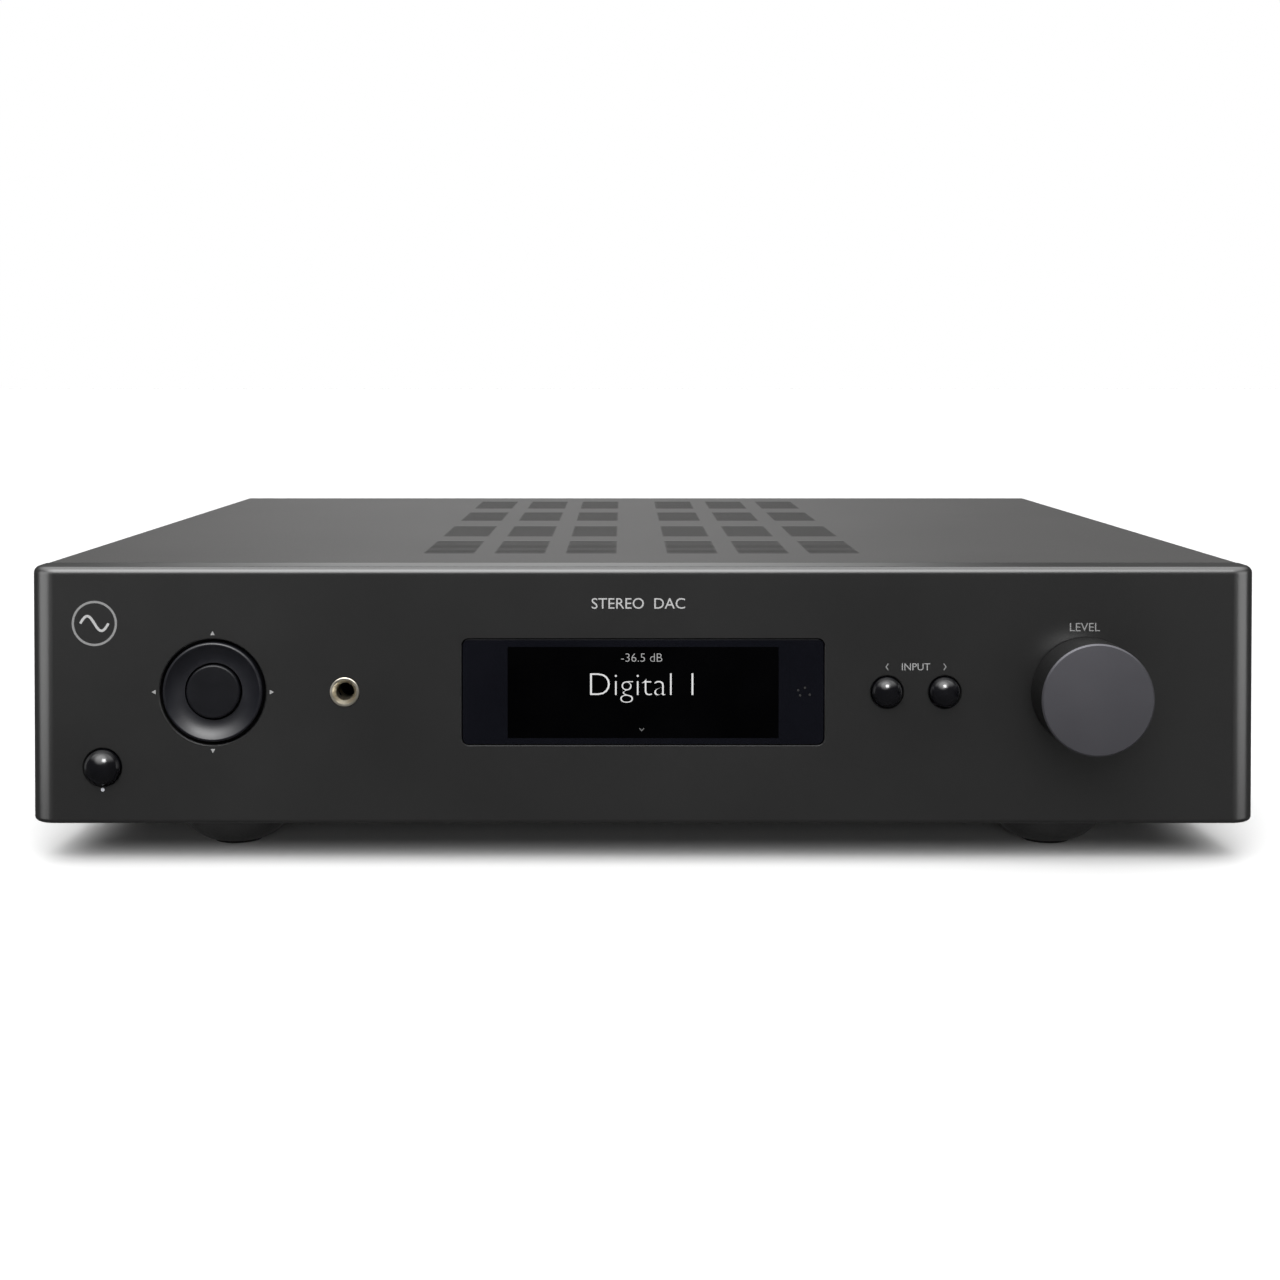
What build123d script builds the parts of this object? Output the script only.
"""Full-width hi-fi streaming DAC and preamplifier, as an assembly of its separate pieces.

Millimetres, +Z up. The origin is on the surface that the feet stand on, under the middle of
the whole outline. The front plate faces -Y and +X is to the right as seen from the front.
"""
from build123d import *
import math
import os

# ---------------------------------------------------------------- driving dimensions
WIDTH = 435.0
DEPTH = 405.0
HEIGHT = 106.0
GROUND_CLEARANCE = 15.0
KNOB_REACH = 18.0
TERMINAL_REACH = 10.0
SHEET = 1.2
GAP = 0.3

FRONT = -DEPTH / 2 + KNOB_REACH
BACK = DEPTH / 2 - TERMINAL_REACH
HALF = WIDTH / 2

# front plate, a hollow aluminium section
FASCIA_DEPTH = 16.0
FASCIA_WALL = 4.5
FASCIA_SIDE = 3.0
FASCIA_LIP = 2.5
FASCIA_CORNER = 9.0
FASCIA_TOP_EDGE = 2.6
FASCIA_LOW_EDGE = 1.6
HOLE_BEVEL = 0.4
WALL_BACK = FRONT + FASCIA_WALL
FASCIA_BACK = FRONT + FASCIA_DEPTH

# sheet metal planes
SUB_FRONT = FASCIA_BACK + 0.2
SUB_BACK = SUB_FRONT + SHEET
TRAY_FRONT = SUB_BACK + 0.2
COVER_FRONT = FASCIA_BACK + 0.3
PANEL_FACE = BACK - 1.3
PANEL_INSIDE = PANEL_FACE - SHEET
TRAY_BOTTOM = GROUND_CLEARANCE + 0.9
FLOOR = TRAY_BOTTOM + SHEET
COVER_HALF = HALF - 1.0
COVER_INSIDE = COVER_HALF - SHEET
TRAY_HALF = COVER_INSIDE - 0.4
COVER_BOTTOM = FLOOR + 0.4
PANEL_TOP = HEIGHT - SHEET - GAP

# front controls: where each one's axis crosses the front plate
ROW_Z = 61.8
NAV_X = -152.1
STANDBY_X = -191.2
STANDBY_Z = 35.1
LIGHT_DROP = 8.0
JACK_X = -105.5
SOURCE_X = (86.2, 106.6)
KNOB_X = 156.5

# display
WINDOW_WIDTH = 128.2
WINDOW_HEIGHT = 37.7
WINDOW_CORNER = 2.5
WINDOW_INSET = 0.3

# navigation pad
NAV_HOLE = 18.8
NAV_RADIUS = 17.6
NAV_PROUD = 0.8
NAV_PIVOT_Y = FRONT + 10.5
NAV_PIN = 1.2
RUNNING = 0.06
ENTER_RADIUS = 9.5
ENTER_GAP = 0.7
SKIRT_INSIDE = 14.6
SKIRT_OUTSIDE = 17.4
CARRIER_INSIDE = 9.2
CARRIER_OUTSIDE = 12.2
HUB_RADIUS = 7.6
HUB_BORE = 5.0
PUSHER_RADIUS = 16.0

# round push buttons
STANDBY_RADIUS = 6.4
SOURCE_RADIUS = 5.4
BUTTON_GAP = 0.3
DOME_RATIO = 0.8
PLUNGER_TIP = SUB_BACK + 0.8
STEM_END = PLUNGER_TIP - 1.2
CONTROL_BOARD_Y = SUB_BACK + 5.1
BOARD = 1.6

# volume knob
KNOB_RADIUS = 19.5
KNOB_CROWN = 0.5
KNOB_SKIN = 3.0
KNOB_STANDOFF = 0.6
SHAFT_RADIUS = 3.0

# feet
FOOT_X = 151.5
FOOT_Y = (FRONT + 41.0, FRONT + 329.0)
FOOT_TOP_RADIUS = 20.5
FOOT_BASE_RADIUS = 9.6

# vents in the top
VENT_COLUMNS = (19.3, 46.5, 73.5)
VENT_ROWS = (78.0, 154.5, 241.0, 322.0)
VENT_WIDTH = 19.6
VENT_SLOT = 2.7
VENT_PITCH = 5.35
VENT_SLOTS = 10

# back panel layout
RCA_ROWS = (36.0, 55.0)
RCA_BLOCKS = (168.0, 128.0, 88.0)
RCA_SPACING = 18.0
COAX_X = -28.0
RCA_SHELL = 4.2
RCA_NECK = 4.0
XLR_X = (46.0, 12.0)
XLR_Z = 46.0
OPTICAL_X = -58.0
NETWORK_X = -90.0
USB_Z = 57.0
TRIGGER_X = (-118.0, -134.0)
TRIGGER_Z = (36.0, 54.0)
INLET_X = -178.0
INLET_Z = 40.0
ROCKER_Z = 77.0
MODULE_X = (148.0, 44.0)
MODULE_Z = 79.0
ANTENNA_X = (-28.0, -74.0, -120.0)
ANTENNA_Z = 86.0
GROUND_X = 199.0
GROUND_Z = 58.0
INLET_SCREW = 20.0
XLR_SCREW = (9.5, 12.0)
XLR_WELL = 9.5
MODULE_SCREW = 43.5
RCA_COLLAR = 6.6
ROCKER_PIVOT_Y = PANEL_FACE + 0.4
ROCKER_RADIUS = 11.1
ROCKER_HALF = 8.85
ROCKER_TILT = 10.0
OPTICAL_HINGE_Y = PANEL_FACE - 0.3
OPTICAL_HINGE_UP = 3.55
STUD_RADIUS = 2.0

# inside: each board is (x0, x1, y0, y1)
BOARD_Z = FLOOR + 10.0
BOARD_TOP = BOARD_Z + BOARD
MAIN_BOARD = (-76.0, 206.0, -70.0, 174.0)
POWER_BOARD = (-208.0, -92.0, 20.0, 160.0)
BOARD_INSET = 6.0
COVER_SCREW_Y = (-140.0, 10.0, 160.0)
COVER_SCREW_Z = 31.0
TAB_X = (-150.0, -8.0, 150.0)
TAB_Z = 98.5
FASCIA_SCREW_X = (-204.0, -76.0, 76.0, 204.0)
FASCIA_SCREW_Z = (23.5, 97.5)


# ---------------------------------------------------------------- small shapes
def block(x0, x1, y0, y1, z0, z1):
    """Rectangular block between two opposite corners."""
    centre = Pos((x0 + x1) / 2, (y0 + y1) / 2, (z0 + z1) / 2)
    return centre * Box(abs(x1 - x0), abs(y1 - y0), abs(z1 - z0))


def rod(x, z, radius, y0, y1):
    """Round bar that runs front to back."""
    return Pos(x, (y0 + y1) / 2, z) * Rot(90, 0, 0) * Cylinder(radius, y1 - y0)


def post(x, y, radius, z0, z1):
    """Upright round bar."""
    return Pos(x, y, (z0 + z1) / 2) * Cylinder(radius, z1 - z0)


def bar(y, z, radius, x0, x1):
    """Round bar that runs from side to side."""
    return Pos((x0 + x1) / 2, y, z) * Rot(0, 90, 0) * Cylinder(radius, x1 - x0)


def plate(outline, y0, y1):
    """Outline drawn in X and Z, made solid from depth y0 back to depth y1."""
    return extrude(Plane.XZ.offset(-y1) * outline, amount=y1 - y0)


def slab(outline, z0, z1):
    """Outline drawn in X and Y, made solid from height z0 up to z1."""
    return extrude(Plane.XY.offset(z0) * outline, amount=z1 - z0)


def flat_edges(pieces):
    """Plain edges out of a mix of lines, arcs and polylines."""
    return [edge for piece in pieces for edge in piece.edges()]


def turned(x, z, *edges):
    """Solid of revolution about a front-to-back axis, from edges drawn as (radius, y)."""
    return Pos(x, 0, z) * revolve(make_face(flat_edges(edges)), Axis.Y)


def turned_outline(x, z, *points):
    """Solid of revolution from straight-sided points (radius, y)."""
    return turned(x, z, Polyline(*points, close=True))


def bevelled_hole(x, z, radius):
    """Cutter for a round hole in the front plate with a small bevel at the face."""
    reach = 1.0
    return turned_outline(
        x, z,
        (0, FRONT - reach),
        (radius + HOLE_BEVEL + reach, FRONT - reach),
        (radius, FRONT + HOLE_BEVEL),
        (radius, WALL_BACK + reach),
        (0, WALL_BACK + reach),
    )


def cable(points, corner_radius, radius):
    """Round cable along straight runs joined by tangent arcs."""
    path = FilletPolyline(*points, radius=corner_radius)
    section = Plane(origin=path @ 0, z_dir=path % 0) * Circle(radius)
    return sweep(section, path=path)


def screw(x, z, y_head, direction, length, head_radius=2.8, head=2.0, shank=1.5):
    """Pan-head machine screw along Y: direction +1 drives it backwards, -1 forwards."""
    y_top = y_head - direction * head
    body = rod(x, z, shank, *sorted((y_head, y_head + direction * length)))
    cap = rod(x, z, head_radius, *sorted((y_top, y_head)))
    rim = cap.edges().filter_by(GeomType.CIRCLE).sort_by(Axis.Y)[0 if direction > 0 else -1]
    cap = fillet(rim, head * 0.3)
    reach = head_radius * 0.62
    y0, y1 = sorted((y_top - direction * 0.1, y_top + direction * 0.6))
    across = block(x - reach, x + reach, y0, y1, z - 0.35, z + 0.35)
    upright = block(x - 0.35, x + 0.35, y0, y1, z - reach, z + reach)
    return body + cap - across - upright


# ---------------------------------------------------------------- casing
def fascia():
    """Hollow front plate with rounded ends and a hole for every control."""
    plan = Pos(0, FRONT + FASCIA_DEPTH / 2) * Rectangle(WIDTH, FASCIA_DEPTH)
    plan = fillet(plan.vertices().group_by(Axis.Y)[0], FASCIA_CORNER)
    body = slab(plan, GROUND_CLEARANCE, HEIGHT)
    for group, radius in ((0, FASCIA_LOW_EDGE), (-1, FASCIA_TOP_EDGE)):
        rim = body.edges().group_by(Axis.Z)[group]
        body = fillet([edge for edge in rim if edge.center().Y < FASCIA_BACK - 1.0], radius)

    pocket_depth = FASCIA_DEPTH - FASCIA_WALL
    pocket = Pos(0, FASCIA_BACK - pocket_depth / 2) * Rectangle(WIDTH - 2 * FASCIA_SIDE, pocket_depth)
    pocket = fillet(pocket.vertices().group_by(Axis.Y)[0], FASCIA_CORNER - FASCIA_SIDE)
    body -= slab(pocket, GROUND_CLEARANCE + FASCIA_LIP, HEIGHT - FASCIA_LIP)
    for x in FASCIA_SCREW_X:
        for z in FASCIA_SCREW_Z:
            body += rod(x, z, 4.0, WALL_BACK - 0.5, FASCIA_BACK)
            body -= rod(x, z, 1.6, WALL_BACK, FASCIA_BACK + 0.1)

    body -= bevelled_hole(NAV_X, ROW_Z, NAV_HOLE)
    body -= bevelled_hole(STANDBY_X, STANDBY_Z, STANDBY_RADIUS + BUTTON_GAP)
    body -= rod(STANDBY_X, STANDBY_Z - LIGHT_DROP, 0.8, FRONT - 1, WALL_BACK + 1)
    for x in SOURCE_X:
        body -= bevelled_hole(x, ROW_Z, SOURCE_RADIUS + BUTTON_GAP)
    body -= rod(KNOB_X, ROW_Z, 8.5, FRONT - 1, WALL_BACK + 1)
    body -= rod(JACK_X, ROW_Z, 4.6, FRONT - 1, WALL_BACK + 1)
    body -= rod(JACK_X, ROW_Z, 5.25, FRONT - 1, FRONT + 1.0)
    opening = Pos(0, ROW_Z) * RectangleRounded(WINDOW_WIDTH, WINDOW_HEIGHT, WINDOW_CORNER)
    body -= plate(opening, FRONT - 1, WALL_BACK + 1)
    mouth = [edge for edge in body.edges()
             if abs(edge.center().Y - FRONT) < 0.01 and abs(edge.center().X) < WINDOW_WIDTH / 2 + 0.1
             and abs(edge.center().Z - ROW_Z) < WINDOW_HEIGHT / 2 + 0.1]
    return chamfer(mouth, 0.25)


def front_sub_panel():
    """Steel panel behind the front plate that carries the boards."""
    half_width = TRAY_HALF - 2.0
    body = block(-half_width, half_width, SUB_FRONT, SUB_BACK, COVER_BOTTOM, PANEL_TOP - 0.6)
    body -= rod(NAV_X, ROW_Z, 22.0, SUB_FRONT - 1, SUB_BACK + 1)
    body -= rod(STANDBY_X, STANDBY_Z, 3.2, SUB_FRONT - 1, SUB_BACK + 1)
    for x in SOURCE_X:
        body -= rod(x, ROW_Z, 3.2, SUB_FRONT - 1, SUB_BACK + 1)
    body -= rod(KNOB_X, ROW_Z, 4.6, SUB_FRONT - 1, SUB_BACK + 1)
    body -= block(JACK_X - 8, JACK_X + 8, SUB_FRONT - 1, SUB_BACK + 1, ROW_Z - 8, ROW_Z + 8)
    body -= block(-40, 40, SUB_FRONT - 1, SUB_BACK + 1, ROW_Z - 9, ROW_Z + 9)
    for x in FASCIA_SCREW_X:
        for z in FASCIA_SCREW_Z:
            body -= rod(x, z, 1.7, SUB_FRONT - 1, SUB_BACK + 1)
    return body


def chassis_tray():
    """Folded steel base with side walls, a low front flange and vent slots."""
    rear = PANEL_INSIDE - 0.1
    body = block(-TRAY_HALF, TRAY_HALF, TRAY_FRONT, rear, TRAY_BOTTOM, FLOOR)
    body += block(-TRAY_HALF, TRAY_HALF, TRAY_FRONT, TRAY_FRONT + SHEET, TRAY_BOTTOM, FLOOR + 10)
    for side in (-1, 1):
        body += block(side * TRAY_HALF, side * (TRAY_HALF - SHEET), TRAY_FRONT, rear, TRAY_BOTTOM, 46.0)
        for y in COVER_SCREW_Y:
            ends = sorted((side * (TRAY_HALF - 3), side * (TRAY_HALF + 1)))
            body -= bar(y, COVER_SCREW_Z, 1.6, *ends)
    for x in FASCIA_SCREW_X:
        body -= rod(x, FASCIA_SCREW_Z[0], 1.7, TRAY_FRONT - 1, TRAY_FRONT + SHEET + 1)
    slots = []
    for group_x, group_y in ((-148.0, 30.0), (70.0, 20.0)):
        for step in range(12):
            place = Pos(group_x + (step - 5.5) * 8.0, group_y) * Rot(0, 0, 90)
            slots.append(place * SlotOverall(46, 3.2))
    body -= slab(Sketch() + slots, TRAY_BOTTOM - 1, FLOOR + 1)
    for x in (-FOOT_X, FOOT_X):
        for y in FOOT_Y:
            body -= post(x, y, 2.1, TRAY_BOTTOM - 1, FLOOR + 1)
    return body


def top_cover():
    """Steel sheet folded over the top and both sides, with two groups of vents."""
    middle_z = (COVER_BOTTOM + HEIGHT) / 2
    outer = Pos(0, middle_z) * Rectangle(2 * COVER_HALF, HEIGHT - COVER_BOTTOM)
    outer = fillet(outer.vertices().group_by(Axis.Y)[-1], 2.2)
    inner = Pos(0, middle_z - SHEET) * Rectangle(2 * COVER_INSIDE, HEIGHT - COVER_BOTTOM)
    inner = fillet(inner.vertices().group_by(Axis.Y)[-1], 1.0)
    body = plate(outer - inner, COVER_FRONT, BACK)

    slots = []
    for column in VENT_COLUMNS:
        for x in (-column, column):
            for row in VENT_ROWS:
                for step in range(VENT_SLOTS):
                    y = FRONT + row + (step - (VENT_SLOTS - 1) / 2) * VENT_PITCH
                    slots.append(Pos(x, y) * SlotOverall(VENT_WIDTH, VENT_SLOT))
    body -= slab(Sketch() + slots, HEIGHT - SHEET - 1, HEIGHT + 1)

    for x in TAB_X:
        body += block(x - 9, x + 9, PANEL_FACE + 0.1, BACK, TAB_Z - 5, HEIGHT - SHEET / 2)
        body -= rod(x, TAB_Z, 1.7, PANEL_FACE, BACK + 1)
    for side in (-1, 1):
        for y in COVER_SCREW_Y:
            body -= bar(y, COVER_SCREW_Z, 1.7, *sorted((side * (COVER_INSIDE - 1), side * (HALF + 1))))
    return body


def cover_screws():
    """Three screws in each side of the cover and three in its rear tabs."""
    pieces = []
    for y in COVER_SCREW_Y:
        right = Pos(0, y, 0) * Rot(0, 0, 90) * screw(0, COVER_SCREW_Z, -COVER_HALF, 1, 7.0, 3.4, 0.9)
        left = Pos(0, y, 0) * Rot(0, 0, -90) * screw(0, COVER_SCREW_Z, -COVER_HALF, 1, 7.0, 3.4, 0.9)
        pieces += [right, left]
    for x in TAB_X:
        pieces.append(screw(x, TAB_Z, BACK, -1, 6.0, 3.0, 1.6))
    return pieces


def rear_panel():
    """Flat steel back panel with a cut-out for every connector."""
    bottom = TRAY_BOTTOM + 0.1
    outline = Pos(0, (bottom + PANEL_TOP) / 2) * Rectangle(2 * TRAY_HALF, PANEL_TOP - bottom)
    cuts = []
    for z in RCA_ROWS:
        for block_x in RCA_BLOCKS:
            for x in (block_x - RCA_SPACING / 2, block_x + RCA_SPACING / 2):
                cuts.append(Pos(x, z) * Circle(6.9))
        cuts.append(Pos(COAX_X, z) * Circle(6.9))
        cuts.append(Pos(OPTICAL_X, z) * Rectangle(14.2, 14.2))
    for x in XLR_X:
        cuts.append(Pos(x, XLR_Z) * Circle(12.1))
        for side in (-1, 1):
            cuts.append(Pos(x + side * XLR_SCREW[0], XLR_Z + side * XLR_SCREW[1]) * Circle(1.6))
    cuts.append(Pos(NETWORK_X, RCA_ROWS[0]) * Rectangle(17.0, 14.4))
    cuts.append(Pos(NETWORK_X, USB_Z) * Rectangle(15.0, 7.4))
    for x in TRIGGER_X:
        for z in TRIGGER_Z:
            cuts.append(Pos(x, z) * Circle(3.4))
    cuts.append(Pos(INLET_X, INLET_Z) * Rectangle(27.8, 20.4))
    for side in (-1, 1):
        cuts.append(Pos(INLET_X + side * INLET_SCREW, INLET_Z) * Circle(1.7))
    cuts.append(Pos(INLET_X, ROCKER_Z) * Rectangle(22.2, 27.8))
    for x in MODULE_X:
        cuts.append(Pos(x, MODULE_Z) * Rectangle(80.0, 22.0))
        for side in (-1, 1):
            cuts.append(Pos(x + side * MODULE_SCREW, MODULE_Z) * Circle(1.7))
    for x in ANTENNA_X:
        cuts.append(Pos(x, ANTENNA_Z) * Circle(3.3))
    cuts.append(Pos(GROUND_X, GROUND_Z) * Circle(2.2))
    for x in TAB_X:
        cuts.append(Pos(x, TAB_Z) * Circle(1.6))
    return plate(outline - cuts, PANEL_INSIDE, PANEL_FACE)


def foot(x, y):
    """Moulded foot: a wide dish that narrows to its rubber ring, with a screw well."""
    profile = [
        Line((4.9, 1.0), (FOOT_BASE_RADIUS, 1.0)),
        ThreePointArc((FOOT_BASE_RADIUS, 1.0), (16.4, 4.6), (FOOT_TOP_RADIUS, 10.4)),
        Line((FOOT_TOP_RADIUS, 10.4), (FOOT_TOP_RADIUS, 12.0)),
        Line((FOOT_TOP_RADIUS, 12.0), (18.6, TRAY_BOTTOM - 0.1)),
        Line((18.6, TRAY_BOTTOM - 0.1), (2.2, TRAY_BOTTOM - 0.1)),
        Line((2.2, TRAY_BOTTOM - 0.1), (2.2, 8.0)),
        Line((2.2, 8.0), (4.9, 8.0)),
        Line((4.9, 8.0), (4.9, 1.0)),
    ]
    body = revolve(Plane.XZ * make_face(profile), Axis.Z)
    groove = post(0, 0, 9.0, 0.9, 2.6) - post(0, 0, 5.6, 0.9, 2.6)
    return Pos(x, y, 0) * (body - groove)


def foot_pads():
    """Rubber ring pressed into the underside of each foot."""
    pieces = []
    for x in (-FOOT_X, FOOT_X):
        for y in FOOT_Y:
            ring = post(x, y, 8.95, 0, 2.55) - post(x, y, 5.65, -0.1, 2.6)
            rim = ring.edges().filter_by(GeomType.CIRCLE).group_by(Axis.Z)[0]
            pieces.append(fillet(rim, 0.5))
    return pieces


# ---------------------------------------------------------------- front controls
def dome_button(x, z, radius):
    """Push button with a domed face, a retaining flange and a stem to its switch."""
    base_y = FRONT + 0.2
    height = radius * DOME_RATIO
    dome = EllipticalCenterArc((0, base_y), radius, height, start_angle=270, arc_size=90)
    flange_y = WALL_BACK + 0.3
    rest = Polyline(
        (radius, base_y),
        (radius, flange_y),
        (radius + 0.8, flange_y),
        (radius + 0.8, flange_y + 1.4),
        (2.4, flange_y + 1.4),
        (2.4, STEM_END),
        (0, STEM_END),
        (0, base_y - height),
    )
    return turned(x, z, dome, rest)


def standby_light_pipe():
    """Small clear lens under the standby button, with a head behind the wall."""
    z = STANDBY_Z - LIGHT_DROP
    lens = rod(STANDBY_X, z, 0.74, FRONT + 0.1, WALL_BACK + 0.15)
    lens = fillet(lens.edges().filter_by(GeomType.CIRCLE).sort_by(Axis.Y)[0], 0.3)
    head_y = WALL_BACK + 0.1
    return lens + block(STANDBY_X - 1.6, STANDBY_X + 1.6, head_y, head_y + 1.9, z - 2.8, z + 0.2)


def nav_ring():
    """Rocking ring with a dished face, a skirt with four pushers and two pin holes."""
    crest = FRONT - NAV_PROUD
    bore = ENTER_RADIUS + ENTER_GAP
    dish_y = crest + 2.3
    skirt_end = NAV_PIVOT_Y + 2.1
    face = ThreePointArc((NAV_RADIUS - 0.9, crest), (13.9, crest + 1.65), (bore, dish_y))
    shoulder = (NAV_RADIUS - 0.2, crest + 0.2)
    lip = ThreePointArc((NAV_RADIUS, crest + 0.7), shoulder, (NAV_RADIUS - 0.9, crest))
    rest = Polyline(
        (bore, dish_y),
        (bore, WALL_BACK - 0.4),
        (SKIRT_INSIDE, WALL_BACK - 0.4),
        (SKIRT_INSIDE, skirt_end),
        (SKIRT_OUTSIDE, skirt_end),
        (SKIRT_OUTSIDE, WALL_BACK + 2.8),
        (NAV_HOLE + 0.8, WALL_BACK + 2.8),
        (NAV_HOLE + 0.8, WALL_BACK + 1.6),
        (NAV_RADIUS, WALL_BACK + 1.6),
        (NAV_RADIUS, crest + 0.7),
    )
    body = turned(NAV_X, ROW_Z, face, lip, rest)
    for turn in range(4):
        angle = math.radians(90 * turn)
        x = NAV_X + PUSHER_RADIUS * math.cos(angle)
        z = ROW_Z + PUSHER_RADIUS * math.sin(angle)
        half_x = 1.3 if turn % 2 == 0 else 3.0
        half_z = 3.0 if turn % 2 == 0 else 1.3
        body += block(x - half_x, x + half_x, skirt_end - 1.0, STEM_END, z - half_z, z + half_z)
    return body - post(NAV_X, NAV_PIVOT_Y, NAV_PIN + RUNNING, ROW_Z - 20, ROW_Z + 20)


def nav_carrier():
    """Gimbal ring: pins inwards to the hub, pins outwards to the rocking ring."""
    half = 1.8
    body = rod(NAV_X, ROW_Z, CARRIER_OUTSIDE, NAV_PIVOT_Y - half, NAV_PIVOT_Y + half)
    body -= rod(NAV_X, ROW_Z, CARRIER_INSIDE, NAV_PIVOT_Y - 3, NAV_PIVOT_Y + 3)
    for side in (-1, 1):
        inner = sorted((NAV_X + side * (HUB_BORE + 0.5), NAV_X + side * (CARRIER_INSIDE + 0.6)))
        body += bar(NAV_PIVOT_Y, ROW_Z, NAV_PIN, *inner)
        outer = sorted((ROW_Z + side * (CARRIER_OUTSIDE - 0.6), ROW_Z + side * (SKIRT_OUTSIDE - 0.9)))
        body += post(NAV_X, NAV_PIVOT_Y, NAV_PIN, *outer)
    return body


def nav_bracket():
    """Moulded plate behind the ring with the hub that guides the enter button."""
    plate_y = SUB_FRONT - 2.2
    outline = Pos(NAV_X, ROW_Z) * RectangleRounded(54, 48, 4)
    body = plate(outline, plate_y, SUB_FRONT - 0.1)
    for turn in range(4):
        angle = math.radians(90 * turn)
        x = NAV_X + PUSHER_RADIUS * math.cos(angle)
        z = ROW_Z + PUSHER_RADIUS * math.sin(angle)
        body -= block(x - 4.4, x + 4.4, plate_y - 1, SUB_FRONT + 1, z - 4.4, z + 4.4)
    hub_front = NAV_PIVOT_Y - 4.4
    body += rod(NAV_X, ROW_Z, HUB_RADIUS, hub_front, plate_y + 0.5)
    body -= rod(NAV_X, ROW_Z, HUB_BORE, hub_front - 1, SUB_FRONT + 1)
    return body - bar(NAV_PIVOT_Y, ROW_Z, NAV_PIN + RUNNING, NAV_X - 9, NAV_X + 9)


def enter_button():
    """Flat round button in the middle of the ring, with its stem."""
    face_y = FRONT + 0.1
    edge = 0.7
    corner = ThreePointArc(
        (ENTER_RADIUS - edge, face_y),
        (ENTER_RADIUS - edge * 0.29, face_y + edge * 0.29),
        (ENTER_RADIUS, face_y + edge),
    )
    rest = Polyline(
        (ENTER_RADIUS, face_y + edge),
        (ENTER_RADIUS, FRONT + 3.0),
        (HUB_BORE - 0.1, FRONT + 3.0),
        (HUB_BORE - 0.1, STEM_END),
        (0, STEM_END),
        (0, face_y),
        (ENTER_RADIUS - edge, face_y),
    )
    return turned(NAV_X, ROW_Z, corner, rest)


def switch_places():
    """Where each push switch sits, as (x, z)."""
    places = [(STANDBY_X, STANDBY_Z), (NAV_X, ROW_Z)]
    for turn in range(4):
        angle = math.radians(90 * turn)
        places.append((NAV_X + PUSHER_RADIUS * math.cos(angle), ROW_Z + PUSHER_RADIUS * math.sin(angle)))
    places += [(x, ROW_Z) for x in SOURCE_X]
    return places


def tact_switches():
    """Push switches on the control boards, body and plunger."""
    pieces = []
    for x, z in switch_places():
        body = block(x - 3, x + 3, CONTROL_BOARD_Y - 3.5, CONTROL_BOARD_Y - 0.05, z - 3, z + 3)
        pieces.append(body + rod(x, z, 1.75, PLUNGER_TIP, CONTROL_BOARD_Y - 3.4))
    return pieces


def control_board(x0, x1, z0, z1):
    """Upright circuit board behind the sub panel with a cable socket on its back."""
    body = block(x0, x1, CONTROL_BOARD_Y, CONTROL_BOARD_Y + BOARD, z0, z1)
    middle = (x0 + x1) / 2
    socket_y = CONTROL_BOARD_Y + BOARD - 0.1
    return body + block(middle - 12, middle + 12, socket_y, CONTROL_BOARD_Y + 7, 44, 50)


def display_window():
    """Clear-fronted dark window: a front pane in the opening and a wider flange behind."""
    pane = Pos(0, ROW_Z) * RectangleRounded(WINDOW_WIDTH - 0.5, WINDOW_HEIGHT - 0.5, WINDOW_CORNER - 0.25)
    flange = Pos(0, ROW_Z) * RectangleRounded(WINDOW_WIDTH + 4.6, WINDOW_HEIGHT + 4.6, WINDOW_CORNER)
    body = plate(pane, FRONT + WINDOW_INSET, WALL_BACK + 0.5)
    rim = body.edges().group_by(Axis.Y)[0]
    body = fillet(rim, 0.2)
    return body + plate(flange, WALL_BACK + 0.1, WALL_BACK + 1.6)


def display_module():
    """Colour display in its pressed frame, with its driver board and cable socket."""
    front_y = WALL_BACK + 2.1
    frame = block(-55, 55, front_y, front_y + 4.4, ROW_Z - 20, ROW_Z + 20)
    frame -= block(-48.5, 48.5, front_y - 1, front_y + 0.7, ROW_Z - 16.5, ROW_Z + 16.5)
    board = block(-58, 58, front_y + 4.3, front_y + 5.9, ROW_Z - 22, ROW_Z + 22)
    socket = block(-13, 13, front_y + 5.8, SUB_BACK + 4, ROW_Z - 3, ROW_Z + 3)
    return frame + board + socket


def headphone_bush():
    """Plated ring of the headphone socket, countersunk at its mouth."""
    return turned_outline(
        JACK_X, ROW_Z,
        (4.3, FRONT - 0.4),
        (4.95, FRONT - 0.4),
        (5.15, FRONT - 0.2),
        (5.15, FRONT + 0.9),
        (4.5, FRONT + 0.9),
        (4.5, FRONT + 13.4),
        (3.2, FRONT + 13.4),
        (3.2, FRONT + 1.4),
    )


def headphone_jack():
    """Body of the headphone socket with its contact lugs."""
    y0 = FRONT + 13.5
    body = block(JACK_X - 7, JACK_X + 7, y0, y0 + 24, ROW_Z - 7, ROW_Z + 7)
    body -= rod(JACK_X, ROW_Z, 3.2, y0 - 1, y0 + 18)
    for x in (JACK_X - 4, JACK_X, JACK_X + 4):
        body += block(x - 0.8, x + 0.8, y0 + 20, y0 + 20.5, ROW_Z - 11, ROW_Z - 6.9)
    return body


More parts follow.
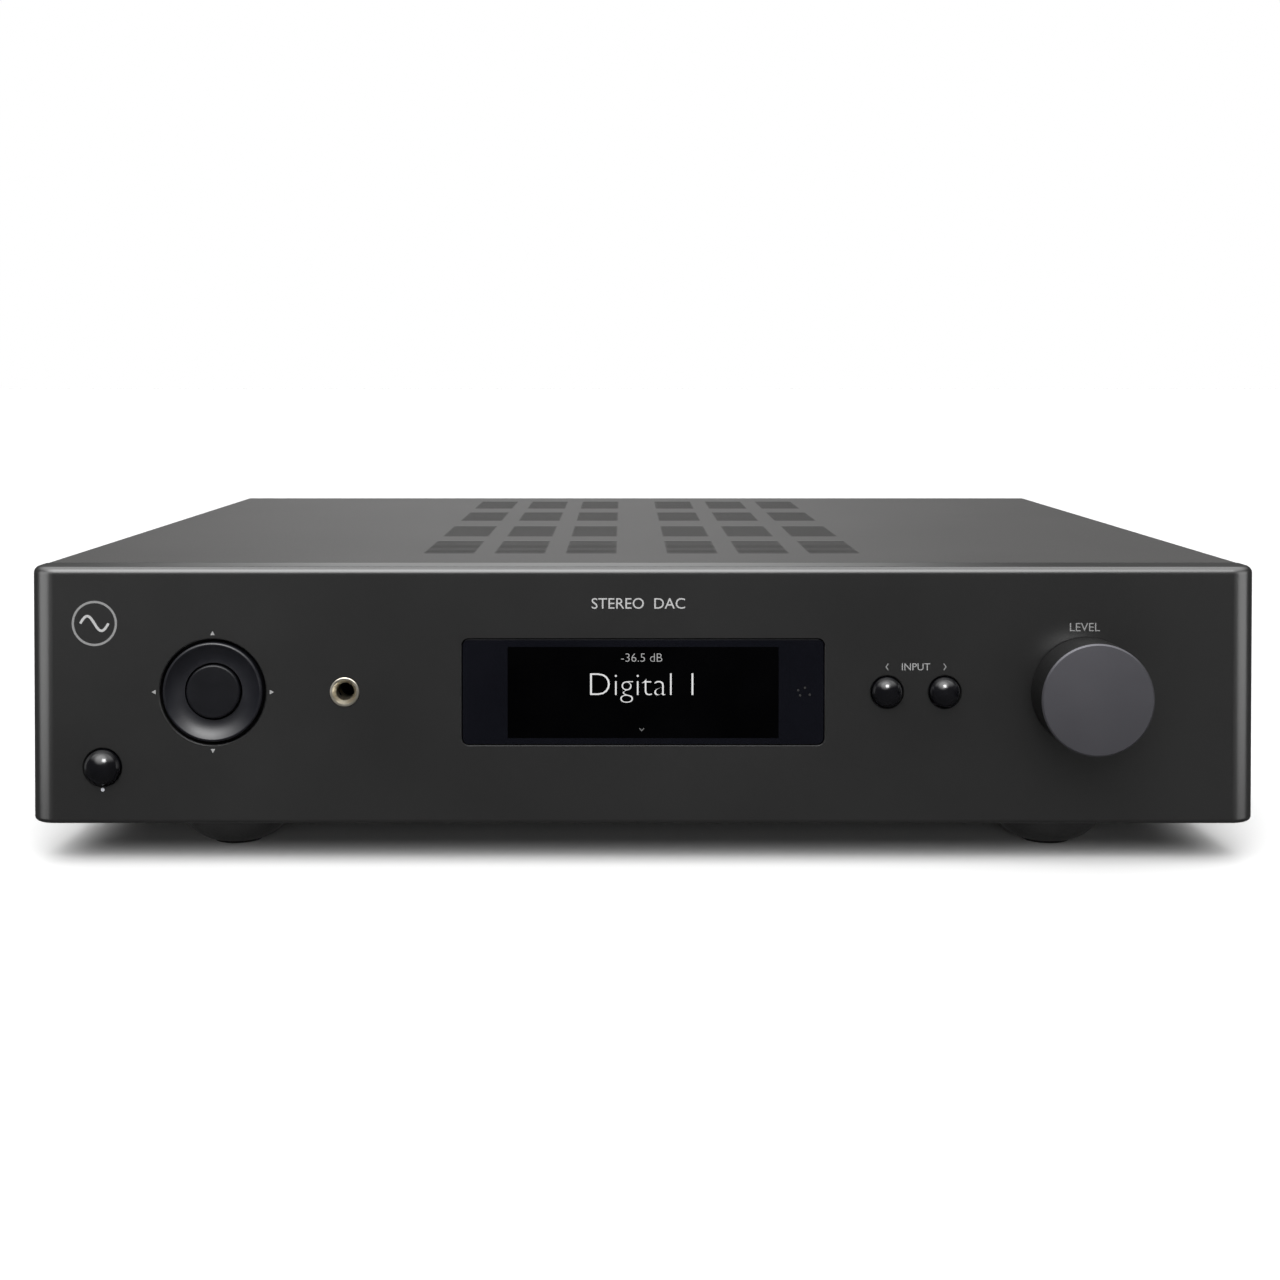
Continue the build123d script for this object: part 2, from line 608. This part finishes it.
def volume_knob():
    """Turned aluminium knob, hollow behind, with a boss for the shaft."""
    face = FRONT - KNOB_REACH
    rear = FRONT - KNOB_STANDOFF
    edge = 0.55
    inner = KNOB_RADIUS - KNOB_SKIN
    rim = KNOB_RADIUS - edge
    crown = ThreePointArc((0, face), (rim / 2, face + KNOB_CROWN / 4), (rim, face + KNOB_CROWN))
    rest = Polyline(
        (rim, face + KNOB_CROWN),
        (KNOB_RADIUS, face + KNOB_CROWN + edge),
        (KNOB_RADIUS, rear - 0.4),
        (KNOB_RADIUS - 0.4, rear),
        (inner, rear),
        (inner, face + 4.5),
        (6.0, face + 4.5),
        (6.0, rear),
        (SHAFT_RADIUS + 0.02, rear),
        (SHAFT_RADIUS + 0.02, face + 4.0),
        (0, face + 4.0),
        (0, face),
    )
    return turned(KNOB_X, ROW_Z, crown, rest)


def encoder_shaft():
    """Steel shaft from the knob into the encoder, with a flat at its front end."""
    start = FRONT - KNOB_REACH + 4.2
    body = rod(KNOB_X, ROW_Z, SHAFT_RADIUS, start, SUB_BACK + 2.0)
    flat = block(KNOB_X - 4, KNOB_X + 4, start - 1, start + 10, ROW_Z + 1.6, ROW_Z + 4)
    return body - flat


def encoder_body():
    """Encoder can with the threaded bush that passes through the sub panel."""
    bush_front = SUB_FRONT - 7.5
    can_y = (SUB_BACK + 0.1, CONTROL_BOARD_Y - 0.1)
    body = block(KNOB_X - 6.5, KNOB_X + 6.5, *can_y, ROW_Z - 7, ROW_Z + 7)
    body += rod(KNOB_X, ROW_Z, 4.5, bush_front, SUB_BACK + 0.5)
    return body - rod(KNOB_X, ROW_Z, SHAFT_RADIUS + RUNNING, bush_front - 1, SUB_BACK + 2.4)


def encoder_nut():
    """Hexagonal nut that clamps the encoder bush to the sub panel."""
    outline = Pos(KNOB_X, ROW_Z) * RegularPolygon(7.0, 6) - Pos(KNOB_X, ROW_Z) * Circle(4.55)
    return plate(outline, SUB_FRONT - 2.7, SUB_FRONT - 0.1)


# ---------------------------------------------------------------- inside
def board(area):
    """Flat circuit board on its spacers."""
    x0, x1, y0, y1 = area
    return block(x0, x1, y0, y1, BOARD_Z, BOARD_TOP)


def corner_places(area):
    """Fixing points near the corners of a board."""
    x0, x1, y0, y1 = area
    across = (x0 + BOARD_INSET, x1 - BOARD_INSET)
    along = (y0 + BOARD_INSET, y1 - BOARD_INSET)
    return [(x, y) for x in across for y in along]


def standoffs():
    """Spacers under the two boards and behind the sub panel."""
    pieces = []
    for area in (MAIN_BOARD, POWER_BOARD):
        for x, y in corner_places(area):
            pieces.append(post(x, y, 3.2, FLOOR + 0.05, BOARD_Z - 0.05))
    for x, z in ((-200.0, 80.0), (-133.0, 33.0), (80.0, 80.0), (172.0, 46.0)):
        pieces.append(rod(x, z, 2.6, SUB_BACK + 0.05, CONTROL_BOARD_Y - 0.05))
    return pieces


def board_components():
    """Chips, relays, sockets and capacitors on the main board."""
    top = BOARD_TOP + 0.05
    pieces = []
    chips = ((20, -30, 17, 2.2), (70, -20, 12, 1.8), (120, -25, 14, 2.0), (165, 20, 10, 1.6))
    for x, y, size, tall in chips:
        pieces.append(block(x - size / 2, x + size / 2, y - size / 2, y + size / 2, top, top + tall))
    for step in range(6):
        x = 70 + step * 22
        pieces.append(block(x - 5, x + 5, 136, 151, top, top + 9.5))
    for row in range(2):
        for step in range(8):
            x = 64 + step * 17
            y = 60 + row * 34
            can = post(x, y, 5.0, top, top + 12.5)
            rim = can.edges().filter_by(GeomType.CIRCLE).sort_by(Axis.Z)[-1]
            pieces.append(fillet(rim, 0.8))
    pieces.append(block(-14, 14, -66, -59, top, top + 7))
    pieces.append(block(118, 146, -66, -59, top, top + 7))
    pieces.append(block(-72, -62, -60, -40, top, top + 7))
    return pieces


def network_module():
    """Streaming daughter board with its shield can."""
    base = BOARD_TOP + 6.0
    body = block(-62, 14, 40, 120, base, base + BOARD)
    return body + block(-52, -4, 50, 104, base + BOARD - 0.1, base + BOARD + 5)


def heatsinks():
    """Finned heatsink on the shield can and another on the power board."""
    can_top = BOARD_TOP + BOARD + 11.1
    cooler = block(-48, -8, 56, 98, can_top, can_top + 2.5)
    for step in range(8):
        x = -47.0 + step * 5.43
        cooler += block(x, x + 1.2, 56, 98, can_top + 2.4, can_top + 12)
    foot_z = BOARD_TOP + 0.05
    plate_piece = block(-112, -109.5, 60, 130, foot_z, foot_z + 38)
    for step in range(6):
        y = 62 + step * 12.6
        plate_piece += block(-109.6, -100, y, y + 1.6, foot_z + 6, foot_z + 38)
    return [cooler, plate_piece]


def power_transformer():
    """Ferrite core with a wound bobbin."""
    z = BOARD_TOP + 0.05
    core = block(-172, -132, 82, 116, z + 3, z + 31)
    core -= block(-165, -159, 80, 118, z + 9, z + 25)
    core -= block(-145, -139, 80, 118, z + 9, z + 25)
    core += block(-168, -136, 78, 120, z + 9.2, z + 24.8)
    return core + block(-168, -136, 78, 120, z, z + 4)


def bulk_capacitors():
    """Tall reservoir capacitors on the power board."""
    z = BOARD_TOP + 0.05
    pieces = []
    cans = ((-190, 112, 11, 32), (-190, 84, 11, 32), (-150, 40, 8, 28), (-128, 40, 8, 28))
    for x, y, radius, tall in cans:
        can = post(x, y, radius, z, z + tall)
        rim = can.edges().filter_by(GeomType.CIRCLE).sort_by(Axis.Z)[-1]
        pieces.append(fillet(rim, 1.2))
    return pieces


def flat_cable(x, width, points, corner_radius):
    """Ribbon cable that runs in one upright plane: points are (y, z)."""
    centre = FilletPolyline(*[(y, z) for y, z in points], radius=corner_radius)
    strip = offset(centre, amount=0.5)
    return extrude(Plane.YZ.offset(x - width / 2) * make_face(strip.edges()), amount=width)


def ribbon_cables():
    """Ribbons from the main board to the display and right board, and a lead to the left board."""
    top = BOARD_TOP + 8.0
    low = top + 4.0
    display_y = SUB_BACK + 4.7
    up = [(-62.5, top), (-62.5, low)]
    to_display = flat_cable(0, 22, [*up, (-148, low), (-148, ROW_Z), (display_y, ROW_Z)], 3)
    board_y = CONTROL_BOARD_Y + 7.7
    to_right = flat_cable(127, 20, [*up, (-142, low), (-142, 47), (board_y, 47)], 3)
    start = (-67, -50, top)
    end = (-166, board_y + 0.2, 47)
    route = [start, (-67, -50, low + 2), (-100, -90, low + 2), (-160, -140, 47), end]
    return [to_display, to_right, cable(route, 3.2, 1.8)]


def mains_harness():
    """Three insulated leads from the inlet by way of the switch to the power board."""
    back_y = PANEL_FACE - 24.0
    pieces = []
    for step, x in enumerate((-185.0, -178.0, -171.0)):
        z = INLET_Z - 2 if step != 1 else INLET_Z + 2
        end = (-194.0 + step * 8, 150.0, BOARD_TOP + 0.7)
        turn_y = 158.0 - step * 1.5
        route = [(x, back_y, z), (x, turn_y, z + 1), (end[0], 152.0, z - 3), end]
        pieces.append(cable(route, 2.2, 1.3))
    for x in (-182.0, -174.0):
        start = (x, PANEL_FACE - 19.5, ROCKER_Z)
        route = [start, (x, 158, ROCKER_Z - 2), (x, 146, 58), (x, 138, BOARD_TOP + 0.7)]
        pieces.append(cable(route, 4.0, 1.3))
    return pieces


# ---------------------------------------------------------------- back connectors
def rca_places():
    """Every phono socket's axis, as (x, z)."""
    places = []
    for block_x in RCA_BLOCKS:
        for x in (block_x - RCA_SPACING / 2, block_x + RCA_SPACING / 2):
            places += [(x, z) for z in RCA_ROWS]
    return places + [(COAX_X, z) for z in RCA_ROWS]


def rca_blocks():
    """Moulded bodies of the phono sockets, with a collar through the panel for each one."""
    pieces = []
    for centre_x, half in [(x, 18.0) for x in RCA_BLOCKS] + [(COAX_X, 9.0)]:
        body = block(centre_x - half, centre_x + half, PANEL_INSIDE - 14, PANEL_INSIDE - 0.1, 27.0, 64.5)
        for x, z in rca_places():
            if abs(x - centre_x) < half:
                body += rod(x, z, RCA_COLLAR, PANEL_INSIDE - 0.5, PANEL_FACE + 0.9)
                body -= rod(x, z, RCA_NECK + 0.05, PANEL_INSIDE - 8, PANEL_FACE + 2)
        pieces.append(body)
    return pieces


def rca_shells():
    """Plated outer contact of each phono socket."""
    end = BACK + TERMINAL_REACH
    pieces = []
    for x, z in rca_places():
        start = PANEL_INSIDE - 7.9
        pieces.append(turned_outline(
            x, z,
            (3.4, start),
            (RCA_NECK, start),
            (RCA_NECK, PANEL_FACE + 1.0),
            (RCA_SHELL, PANEL_FACE + 1.0),
            (RCA_SHELL, end - 0.5),
            (RCA_SHELL - 0.4, end),
            (3.6, end),
            (3.4, end - 0.3),
        ))
    return pieces


def rca_inserts():
    """Insulated centre of each phono socket, bored for the plug's pin."""
    pieces = []
    for x, z in rca_places():
        core = rod(x, z, 3.35, PANEL_INSIDE - 7.8, BACK + TERMINAL_REACH - 0.9)
        pieces.append(core - rod(x, z, 1.6, PANEL_INSIDE - 5, BACK + TERMINAL_REACH))
    return pieces


def balanced_outputs():
    """Three-pole output sockets: a square flange and a round well behind the panel."""
    pieces = []
    for x in XLR_X:
        flange = Pos(x, XLR_Z) * RectangleRounded(26, 31, 2.5) - Pos(x, XLR_Z) * Circle(XLR_WELL)
        for side in (-1, 1):
            flange -= Pos(x + side * XLR_SCREW[0], XLR_Z + side * XLR_SCREW[1]) * Circle(1.6)
        body = plate(flange, PANEL_FACE + 0.1, PANEL_FACE + 2.4)
        body = chamfer(body.edges().group_by(Axis.Y)[-1], 0.3)
        body += rod(x, XLR_Z, 11.8, PANEL_FACE - 16, PANEL_FACE + 0.6)
        body -= rod(x, XLR_Z, XLR_WELL, PANEL_FACE - 13, PANEL_FACE + 3)
        body -= block(x - 1.2, x + 1.2, PANEL_FACE - 11, PANEL_FACE + 3, XLR_Z + 9, XLR_Z + 10.8)
        pieces.append(body)
    return pieces


def mains_inlet():
    """Three-pole appliance inlet with a screwed flange and a well with two cut corners."""
    flange = Pos(INLET_X, INLET_Z) * RectangleRounded(50, 24, 6)
    for side in (-1, 1):
        flange -= Pos(INLET_X + side * INLET_SCREW, INLET_Z) * Circle(1.7)
    body = plate(flange, PANEL_FACE + 0.1, PANEL_FACE + 3.0)
    body = fillet(body.edges().group_by(Axis.Y)[-1].filter_by(GeomType.LINE), 0.4)
    shell = Pos(INLET_X, INLET_Z) * Rectangle(27.2, 19.8)
    body += plate(chamfer(shell.vertices().group_by(Axis.Y)[-1], 4.0), PANEL_FACE - 22, PANEL_FACE + 0.6)
    well = Pos(INLET_X, INLET_Z) * Rectangle(24.2, 16.4)
    well = chamfer(well.vertices().group_by(Axis.Y)[-1], 4.2)
    return body - plate(well, PANEL_FACE - 14, PANEL_FACE + 4)


def contact_pins():
    """Plated blades of the mains inlet and round pins of the balanced outputs."""
    pieces = []
    for dx, dz in ((-7.0, -2.0), (0.0, 2.0), (7.0, -2.0)):
        x = INLET_X + dx
        z = INLET_Z + dz
        blade = block(x - 1, x + 1, PANEL_FACE - 13.95, PANEL_FACE - 0.5, z - 2, z + 2)
        pieces.append(chamfer(blade.edges().group_by(Axis.Y)[-1], 0.5))
    for x in XLR_X:
        for angle in (30, 150, 270):
            px = x + 4.05 * math.cos(math.radians(angle))
            pz = XLR_Z + 4.05 * math.sin(math.radians(angle))
            pin = rod(px, pz, 1.2, PANEL_FACE - 12.95, PANEL_FACE - 1.0)
            tip = pin.edges().filter_by(GeomType.CIRCLE).sort_by(Axis.Y)[-1]
            pieces.append(fillet(tip, 0.9))
    return pieces


def rocker_housing():
    """Frame and body of the mains switch, open at the front for its rocker."""
    frame = Pos(INLET_X, ROCKER_Z) * RectangleRounded(25, 31, 1.5)
    body = plate(frame, PANEL_FACE + 0.1, PANEL_FACE + 1.9)
    body = chamfer(body.edges().group_by(Axis.Y)[-1], 0.4)
    body += block(INLET_X - 10.7, INLET_X + 10.7, PANEL_FACE - 18, PANEL_FACE + 0.6,
                  ROCKER_Z - 13.5, ROCKER_Z + 13.5)
    body -= block(INLET_X - 9.2, INLET_X + 9.2, ROCKER_PIVOT_Y - 6.3, PANEL_FACE + 3,
                  ROCKER_Z - 11.5, ROCKER_Z + 11.5)
    pin_reach = ROCKER_HALF + 1.5
    return body - bar(ROCKER_PIVOT_Y, ROCKER_Z, 1.5 + RUNNING, INLET_X - pin_reach, INLET_X + pin_reach)


def mains_rocker():
    """Two-position rocker with a shallow V face, resting with its upper end pressed in."""
    outline = Polyline((-4, -12), (5.2, -12), (3.1, 0), (5.2, 12), (-4, 12), close=True)
    section = make_face(outline) & Circle(ROCKER_RADIUS)
    body = extrude(Plane.YZ * section, amount=ROCKER_HALF, both=True)
    body += bar(0, 0, 1.5, -ROCKER_HALF - 1.3, ROCKER_HALF + 1.3)
    return Pos(INLET_X, ROCKER_PIVOT_Y, ROCKER_Z) * Rot(ROCKER_TILT, 0, 0) * body


def optical_sockets():
    """Square optical sockets with a well behind a hinged shutter."""
    pieces = []
    for z in RCA_ROWS:
        body = block(OPTICAL_X - 6.8, OPTICAL_X + 6.8, PANEL_FACE - 14, PANEL_FACE + 1.4, z - 6.8, z + 6.8)
        body = chamfer(body.edges().group_by(Axis.Y)[-1], 0.4)
        body -= block(OPTICAL_X - 4.3, OPTICAL_X + 4.3, PANEL_FACE - 11, PANEL_FACE + 2, z - 4.3, z + 4.3)
        body -= bar(OPTICAL_HINGE_Y, z + OPTICAL_HINGE_UP, 0.56, OPTICAL_X - 5.3, OPTICAL_X + 5.3)
        pieces.append(body)
    return pieces


def optical_shutter(z):
    """Sprung flap that closes an optical socket, hinged along its top edge."""
    hinge_z = z + OPTICAL_HINGE_UP
    body = block(OPTICAL_X - 3.95, OPTICAL_X + 3.95, OPTICAL_HINGE_Y - 0.45, OPTICAL_HINGE_Y + 0.45,
                 z - 3.95, hinge_z)
    body += bar(OPTICAL_HINGE_Y, hinge_z, 0.45, OPTICAL_X - 3.95, OPTICAL_X + 3.95)
    return body + bar(OPTICAL_HINGE_Y, hinge_z, 0.5, OPTICAL_X - 5.1, OPTICAL_X + 5.1)


def network_socket():
    """Shielded eight-pole network socket with a stepped mouth for the plug's latch."""
    z = RCA_ROWS[0]
    body = block(NETWORK_X - 8.1, NETWORK_X + 8.1, PANEL_FACE - 18, PANEL_FACE + 1.2, z - 6.8, z + 6.8)
    body -= block(NETWORK_X - 5.9, NETWORK_X + 5.9, PANEL_FACE - 12, PANEL_FACE + 2, z - 2.6, z + 4.4)
    body -= block(NETWORK_X - 3.1, NETWORK_X + 3.1, PANEL_FACE - 12, PANEL_FACE + 2, z - 5.0, z - 2.5)
    return body


def usb_socket():
    """Flat serial-bus socket: a folded shell round a contact tongue."""
    x, y, z = NETWORK_X, PANEL_FACE, USB_Z
    body = block(x - 7.1, x + 7.1, y - 14, y + 0.8, z - 3.4, z + 3.4)
    body -= block(x - 6.4, x + 6.4, y - 12, y + 2, z - 2.7, z + 2.7)
    tongue = block(x - 5.6, x + 5.6, y - 12.5, y - 1, z + 0.2, z + 2.1)
    return body + tongue


def trigger_sockets():
    """Small round control sockets, each with a collar and a body behind the panel."""
    pieces = []
    for x in TRIGGER_X:
        for z in TRIGGER_Z:
            body = block(x - 5, x + 5, PANEL_INSIDE - 12, PANEL_INSIDE - 0.1, z - 5, z + 5)
            body += rod(x, z, 3.2, PANEL_INSIDE - 0.5, PANEL_FACE + 2.6)
            body += rod(x, z, 4.6, PANEL_FACE + 0.1, PANEL_FACE + 1.8)
            pieces.append(body - rod(x, z, 1.8, PANEL_INSIDE - 11, PANEL_FACE + 4))
    return pieces


def antenna_sockets():
    """Threaded aerial sockets, each with a hexagonal nut against the panel."""
    pieces = []
    for x in ANTENNA_X:
        nut = Pos(x, ANTENNA_Z) * RegularPolygon(4.8, 6)
        body = plate(nut, PANEL_FACE + 0.1, PANEL_FACE + 2.2)
        body += rod(x, ANTENNA_Z, 3.1, PANEL_INSIDE - 8, PANEL_FACE + 9.0)
        for step in range(8):
            y = PANEL_FACE + 3.2 + step * 0.7
            groove = turned_outline(x, ANTENNA_Z, (2.85, y), (3.3, y - 0.3), (3.3, y + 0.3))
            body -= groove
        pieces.append(body - rod(x, ANTENNA_Z, 2.2, PANEL_FACE + 2, PANEL_FACE + 10))
    return pieces


def ground_post():
    """Earth terminal: a stud through the panel with a shoulder outside."""
    body = rod(GROUND_X, GROUND_Z, STUD_RADIUS, PANEL_INSIDE - 5, PANEL_FACE + 10.6)
    body = fillet(body.edges().filter_by(GeomType.CIRCLE).sort_by(Axis.Y)[-1], 0.4)
    body += rod(GROUND_X, GROUND_Z, 4.6, PANEL_FACE + 0.1, PANEL_FACE + 1.4)
    return body + rod(GROUND_X, GROUND_Z, 3.6, PANEL_INSIDE - 2.4, PANEL_INSIDE - 0.1)


def ground_washer():
    """Plain washer between the shoulder and the thumb nut."""
    y0 = PANEL_FACE + 1.7
    hole = rod(GROUND_X, GROUND_Z, STUD_RADIUS + 0.3, y0 - 1, y0 + 2)
    return rod(GROUND_X, GROUND_Z, 4.9, y0, y0 + 0.8) - hole


def ground_nut():
    """Knurled thumb nut on the stud."""
    y0 = PANEL_FACE + 2.65
    radius = 5.2
    body = rod(GROUND_X, GROUND_Z, radius, y0, y0 + 5.6)
    body = chamfer(body.edges().filter_by(GeomType.CIRCLE).sort_by(Axis.Y)[-1], 0.6)
    grooves = []
    for step in range(24):
        angle = math.radians(15 * step)
        grooves.append(rod(GROUND_X + radius * math.cos(angle), GROUND_Z + radius * math.sin(angle),
                           0.34, y0 + 0.9, y0 + 7))
    return body - grooves - rod(GROUND_X, GROUND_Z, STUD_RADIUS + RUNNING, y0 - 1, y0 + 7)


def module_covers():
    """Blanking plates over the two expansion bays."""
    pieces = []
    for x in MODULE_X:
        outline = Pos(x, MODULE_Z) * RectangleRounded(96, 27, 1.0)
        for side in (-1, 1):
            outline -= Pos(x + side * MODULE_SCREW, MODULE_Z) * Circle(1.7)
        pieces.append(plate(outline, PANEL_FACE + 0.1, PANEL_FACE + 1.3))
    return pieces


def machine_screws():
    """Every screw that holds the front plate, feet, boards and rear connectors."""
    pieces = []
    for x in FASCIA_SCREW_X:
        for z, y in zip(FASCIA_SCREW_Z, (TRAY_FRONT + SHEET, SUB_BACK)):
            pieces.append(screw(x, z, y + 0.05, -1, 8.0))
    for x in (-FOOT_X, FOOT_X):
        for y in FOOT_Y:
            pieces.append(post(x, y, 2.0, 7.9, FLOOR + 2.5) + post(x, y, 4.2, 5.2, 7.95))
    for area in (MAIN_BOARD, POWER_BOARD):
        for x, y in corner_places(area):
            pieces.append(post(x, y, 2.8, BOARD_TOP + 0.05, BOARD_TOP + 2.0))
    for x in XLR_X:
        for side in (-1, 1):
            place = (x + side * XLR_SCREW[0], XLR_Z + side * XLR_SCREW[1])
            pieces.append(screw(*place, PANEL_FACE + 2.45, -1, 7.0, 2.6, 1.3, 1.4))
    for side in (-1, 1):
        x = INLET_X + side * INLET_SCREW
        pieces.append(screw(x, INLET_Z, PANEL_FACE + 3.05, -1, 7.0, 2.9, 1.4, 1.5))
    for x in MODULE_X:
        for side in (-1, 1):
            place = (x + side * MODULE_SCREW, MODULE_Z, PANEL_FACE + 1.35)
            pieces.append(screw(*place, -1, 6.0, 3.0, 1.5, 1.5))
    return pieces


# ---------------------------------------------------------------- every node
def all_nodes():
    """Name and solids of each separate piece."""
    nodes = {
        "fascia": fascia(),
        "front_sub_panel": front_sub_panel(),
        "chassis_tray": chassis_tray(),
        "rear_panel": rear_panel(),
        "top_cover": top_cover(),
        "cover_screws": cover_screws(),
        "machine_screws": machine_screws(),
        "foot_front_left": foot(-FOOT_X, FOOT_Y[0]),
        "foot_front_right": foot(FOOT_X, FOOT_Y[0]),
        "foot_rear_left": foot(-FOOT_X, FOOT_Y[1]),
        "foot_rear_right": foot(FOOT_X, FOOT_Y[1]),
        "foot_pads": foot_pads(),
        "display_window": display_window(),
        "display_module": display_module(),
        "standby_button": dome_button(STANDBY_X, STANDBY_Z, STANDBY_RADIUS),
        "standby_light_pipe": standby_light_pipe(),
        "nav_bracket": nav_bracket(),
        "nav_carrier": nav_carrier(),
        "nav_ring": nav_ring(),
        "enter_button": enter_button(),
        "previous_source_button": dome_button(SOURCE_X[0], ROW_Z, SOURCE_RADIUS),
        "next_source_button": dome_button(SOURCE_X[1], ROW_Z, SOURCE_RADIUS),
        "left_control_board": control_board(-206, -127, 24, 86),
        "right_control_board": control_board(76, 178, 40, 86),
        "tact_switches": tact_switches(),
        "headphone_jack": headphone_jack(),
        "headphone_bush": headphone_bush(),
        "volume_knob": volume_knob(),
        "encoder_shaft": encoder_shaft(),
        "encoder_body": encoder_body(),
        "encoder_nut": encoder_nut(),
        "main_board": board(MAIN_BOARD),
        "board_components": board_components(),
        "network_module": network_module(),
        "heatsinks": heatsinks(),
        "power_board": board(POWER_BOARD),
        "power_transformer": power_transformer(),
        "bulk_capacitors": bulk_capacitors(),
        "standoffs": standoffs(),
        "ribbon_cables": ribbon_cables(),
        "mains_harness": mains_harness(),
        "mains_inlet": mains_inlet(),
        "contact_pins": contact_pins(),
        "rocker_housing": rocker_housing(),
        "mains_rocker": mains_rocker(),
        "rca_blocks": rca_blocks(),
        "rca_shells": rca_shells(),
        "rca_inserts": rca_inserts(),
        "balanced_outputs": balanced_outputs(),
        "optical_sockets": optical_sockets(),
        "optical_shutter_lower": optical_shutter(RCA_ROWS[0]),
        "optical_shutter_upper": optical_shutter(RCA_ROWS[1]),
        "network_socket": network_socket(),
        "usb_socket": usb_socket(),
        "trigger_sockets": trigger_sockets(),
        "antenna_sockets": antenna_sockets(),
        "ground_post": ground_post(),
        "ground_washer": ground_washer(),
        "ground_nut": ground_nut(),
        "module_covers": module_covers(),
    }
    return nodes


def main():
    """Write one STEP file for each node."""
    os.makedirs("parts", exist_ok=True)
    for name, shape in all_nodes().items():
        if isinstance(shape, list):
            solids = [solid for piece in shape for solid in piece.solids()]
        else:
            solids = list(shape.solids())
        export_step(Compound(children=solids), f"parts/{name}.step")


main()
